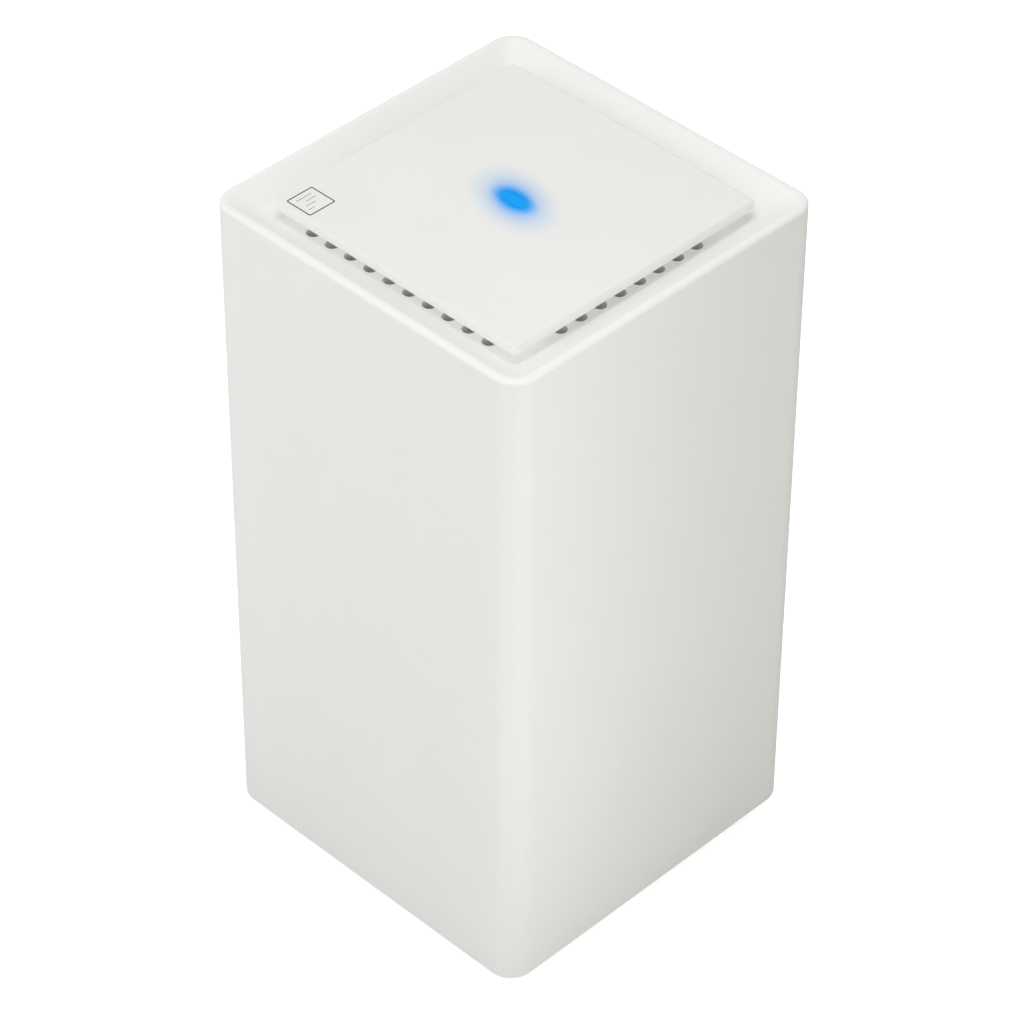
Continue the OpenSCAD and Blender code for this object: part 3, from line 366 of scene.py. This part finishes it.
def paint_all():
    """Gives each CAD piece the material that its slot in the record names."""
    white = (0.92, 0.92, 0.912)
    steel = (0.56, 0.56, 0.57)
    palette = {
        # Its inner colour is painted shade in the exhaust holes and under the deck
        "shell_white": plastic("shell_white", white, 0.46, vary=0.012, spec=0.35, inner=(0.84, 0.815, 0.77)),
        "lid_white": lid_material(),
        "light_acrylic": plastic("light_acrylic", (0.78, 0.88, 0.96), 0.12, 600, 0.002),
        "foam": rubber("foam", (0.05, 0.05, 0.052), 0.9),
        "board_green": board("board_green", (0.012, 0.10, 0.045), (0.05, 0.24, 0.11)),
        "led_lens": plastic("led_lens", (0.84, 0.82, 0.62), 0.2, 900, 0.003),
        "screw_steel": metal("screw_steel", steel, 0.28),
        "flex_white": plastic("flex_white", (0.80, 0.81, 0.83), 0.35, 1200, 0.003),
        "panel_white": plastic("panel_white", (0.80, 0.80, 0.79), 0.55, 1500, 0.02, vary=0.015),
        "button_white": plastic("button_white", (0.85, 0.85, 0.84), 0.38, 2400, 0.004),
        "switch_black": plastic("switch_black", (0.022, 0.022, 0.024), 0.42, 1500, 0.012, vary=0.15),
        "plunger_white": plastic("plunger_white", (0.74, 0.74, 0.73), 0.4, 1800, 0.006),
        "base_white": plastic("base_white", (0.79, 0.79, 0.78), 0.55, 1400, 0.02, vary=0.02),
        "feet_rubber": rubber("feet_rubber", (0.07, 0.07, 0.07)),
        "label_film": metal("label_film", (0.70, 0.71, 0.72), 0.38, (1, 14, 1), 700, 0.05, 0.003),
        "frame_grey": plastic("frame_grey", (0.44, 0.42, 0.39), 0.5, 1400, 0.02, vary=0.05),
        "chip_black": plastic("chip_black", (0.016, 0.016, 0.018), 0.55, 3000, 0.02, vary=0.25),
        "shield_tin": metal("shield_tin", (0.70, 0.69, 0.66), 0.34, (1, 1, 8), 600),
        "pad_grey": rubber("pad_grey", (0.40, 0.50, 0.62), 0.75),
        "sink_aluminium": metal("sink_aluminium", (0.68, 0.69, 0.70), 0.33, (10, 10, 0.6), 420),
        "spring_steel": metal("spring_steel", (0.45, 0.45, 0.46), 0.3),
        "can_dark": plastic("can_dark", (0.012, 0.02, 0.05), 0.22, 800, 0.003, vary=0.2),
        "ferrite": plastic("ferrite", (0.06, 0.06, 0.064), 0.7, 900, 0.03, vary=0.2),
        "jack_grey": plastic("jack_grey", (0.045, 0.045, 0.05), 0.5, 1500, 0.012, vary=0.12),
        "jack_blue": plastic("jack_blue", (0.02, 0.13, 0.38), 0.45, 1500, 0.012, vary=0.1),
        "contact_gold": metal("contact_gold", (0.90, 0.66, 0.28), 0.2),
        "lamp_green": plastic("lamp_green", (0.50, 0.72, 0.42), 0.18, 800, 0.003),
        "pin_nickel": metal("pin_nickel", (0.72, 0.69, 0.63), 0.2, (1, 0.1, 1)),
        "antenna_substrate": board("antenna_substrate", (0.02, 0.12, 0.09), (0.03, 0.16, 0.12), 3.0),
        "antenna_copper": metal("antenna_copper", (0.80, 0.45, 0.28), 0.32),
        "cable_grey": rubber("cable_grey", (0.09, 0.09, 0.10), 0.5),
        "cable_black": rubber("cable_black", (0.03, 0.03, 0.03), 0.5),
        "fan_black": plastic("fan_black", (0.028, 0.028, 0.03), 0.5, 1300, 0.02, vary=0.15),
        "fan_dark": plastic("fan_dark", (0.045, 0.045, 0.05), 0.4, 1500, 0.012, vary=0.12),
        "shaft_steel": metal("shaft_steel", (0.66, 0.66, 0.67), 0.16, (1, 1, 12)),
        "bronze": metal("bronze", (0.64, 0.42, 0.22), 0.38),
        "winding_copper": metal("winding_copper", (0.70, 0.32, 0.14), 0.25, (1, 1, 14), 500),
        "plug_ivory": plastic("plug_ivory", (0.74, 0.71, 0.61), 0.4, 1500, 0.01),
    }
    slots = {s["node"]: s["material_slot"] for s in frame["record"]["subparts"]}
    for name, obj in nodes.items():
        obj.data.materials.clear()
        obj.data.materials.append(palette[slots[name]])


# ---------- printed signs ----------

def rounded(cx, cy, w, h, r, steps=6):
    """Outline of a rounded rectangle, anticlockwise."""
    points = []
    for k, (sx, sy) in enumerate(((1, 1), (-1, 1), (-1, -1), (1, -1))):
        for i in range(steps + 1):
            a = math.pi / 2 * (k + i / steps)
            points.append((cx + sx * (w / 2 - r) + r * math.cos(a), cy + sy * (h / 2 - r) + r * math.sin(a)))
    return points


def disc(cx, cy, radius, sides=32):
    """Outline of a circle, anticlockwise."""
    return [(cx + radius * math.cos(math.tau * i / sides), cy + radius * math.sin(math.tau * i / sides))
            for i in range(sides)]


class Print:
    """Thin ink shapes laid on one face. face turns (u, v, height) in millimetres into a point in metres."""

    def __init__(self, face):
        self.face = face
        self.mesh = bmesh.new()

    def loop(self, outline, height):
        return [self.mesh.verts.new(self.face(u, v, height)) for u, v in outline]

    def wall(self, low, high):
        n = len(low)
        for i in range(n):
            self.mesh.faces.new((low[i], low[(i + 1) % n], high[(i + 1) % n], high[i]))

    def solid(self, outline):
        low, high = self.loop(outline, INK_LOW), self.loop(outline, INK_HIGH)
        self.wall(low, high)
        self.mesh.faces.new(high)
        self.mesh.faces.new(low[::-1])

    def ring(self, outer, inner):
        corners = ((outer, INK_LOW), (outer, INK_HIGH), (inner, INK_HIGH), (inner, INK_LOW))
        loops = [self.loop(outline, height) for outline, height in corners]
        for i in range(4):
            self.wall(loops[i], loops[(i + 1) % 4])

    def finish(self, name, material, body="body"):
        bmesh.ops.recalc_face_normals(self.mesh, faces=self.mesh.faces)
        mesh = bpy.data.meshes.new(name)
        self.mesh.to_mesh(mesh)
        self.mesh.free()
        mesh.materials.append(material)
        obj = bpy.data.objects.new(name, mesh)
        bpy.context.scene.collection.objects.link(obj)
        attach(obj, body)


def ink(name, color):
    """Screen-printed ink: slightly uneven cover, matt against the plastic."""
    g = Graph(name)
    g.link(g.mottle((2500, 3, 0.6), color, 0.9, 1.35, (0.35, 0.75)), "Base Color")
    g.link(g.remap(g.noise(900, 3), 0.3, 0.7, 0.5, 0.7), "Roughness")
    g.link(g.bump(g.noise(5000, 2), 0.4, 0.004 * MM), "Normal")
    return g.material


def lid_mark():
    """Small printed square near the lid's front left corner, with rows of plain dashes inside it."""
    left, front, top = lid_low.x / MM + 3.3, lid_low.y / MM + 2.0, lid_high.z / MM
    side, line, dash_width = 8.9, 0.32, 0.26
    rows = ((2.0, 1.7, 6.9, 6), (3.6, 3.7, 6.8, 4), (5.2, 2.2, 5.4, 4), (6.8, 1.5, 3.5, 3))

    def on_lid(u, v, h):
        return u * MM, v * MM, (top + h) * MM

    p = Print(on_lid)
    cx, cy, inside = left + side / 2, front + side / 2, side - 2 * line
    p.ring(rounded(cx, cy, side, side, 0.45), rounded(cx, cy, inside, inside, 0.2))
    p.finish("mark_frame", ink("mark_ink", (0.02, 0.02, 0.02)))
    p = Print(on_lid)
    for across, start, end, count in rows:
        pitch = (end - start) / count
        for i in range(count):
            dash = pitch * (0.62 if i % 2 else 0.76)
            p.solid(rounded(left + across, front + start + pitch * (i + 0.5), dash_width, dash, 0.1, 3))
    p.finish("mark_rows", ink("mark_pale_ink", (0.16, 0.155, 0.15)))


def mid_height(box):
    """Height of a box's middle, in millimetres."""
    low, high = box
    return (low.z + high.z) / 2 / MM


def rear_signs():
    """Plain signs beside the sockets: dots count the local sockets, rings mark the uplink and the inlet."""
    out = panel_high.y / MM
    p = Print(lambda u, v, h: (u * MM, (out + h) * MM, v * MM))
    x, sockets, dot_pitch = 12.2, 4, 1.9
    low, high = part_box("lan_jack")
    pitch = (high.z - low.z) / MM / sockets
    for i in range(sockets):
        z = low.z / MM + pitch * (i + 0.5)
        for k in range(i + 1):
            p.solid(disc(x, z + (k - i / 2) * dot_pitch, 0.5))
    z = mid_height(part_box("wan_jack"))
    p.ring(disc(x, z, 1.9), disc(x, z, 1.5))
    p.ring(disc(x, z, 0.9), disc(x, z, 0.5))
    z = mid_height(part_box("power_inlet"))
    p.ring(disc(x, z, 1.9), disc(x, z, 1.5))
    p.solid(disc(x, z, 0.6))
    z = mid_height(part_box("pair_button"))
    for k in (-1, 0, 1):
        p.solid(rounded(x, z + k * 1.3, 3.4 - 1.1 * abs(k), 0.36, 0.17, 4))
    z = mid_height(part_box("reset_plunger"))
    p.ring(disc(0, z, 2.3, 48), disc(0, z, 2.05, 48))
    p.finish("rear_signs", ink("sign_ink", (0.22, 0.22, 0.22)))


def label_print():
    """Plain frame and rules on the rating label, with no wording."""
    low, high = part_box("rating_label")
    cx, cy = (low.x + high.x) / 2 / MM, (low.y + high.y) / 2 / MM
    w, h = (high.x - low.x) / MM, (high.y - low.y) / MM
    p = Print(lambda u, v, d: (u * MM, v * MM, low.z - d * MM))
    p.ring(rounded(cx, cy, w - 1.4, h - 1.4, 0.5), rounded(cx, cy, w - 1.8, h - 1.8, 0.35))
    row_pitch, box_pitch = 1.7, 6.2
    for i, length in enumerate((17, 13, 15)):
        p.solid(rounded(cx - w / 2 + 2.6 + length / 2, cy + (1 - i) * row_pitch, length, 0.42, 0.15, 3))
    for i in range(2):
        x = cx + w / 2 - 5 - box_pitch * i
        p.ring(rounded(x, cy, 4.6, 4.6, 0.5), rounded(x, cy, 4.2, 4.2, 0.35))
    p.finish("label_print", ink("label_ink", (0.10, 0.10, 0.10)))


# ---------- the scene ----------

make_camera()
make_studio()
paint_all()
lid_mark()
rear_signs()
label_print()
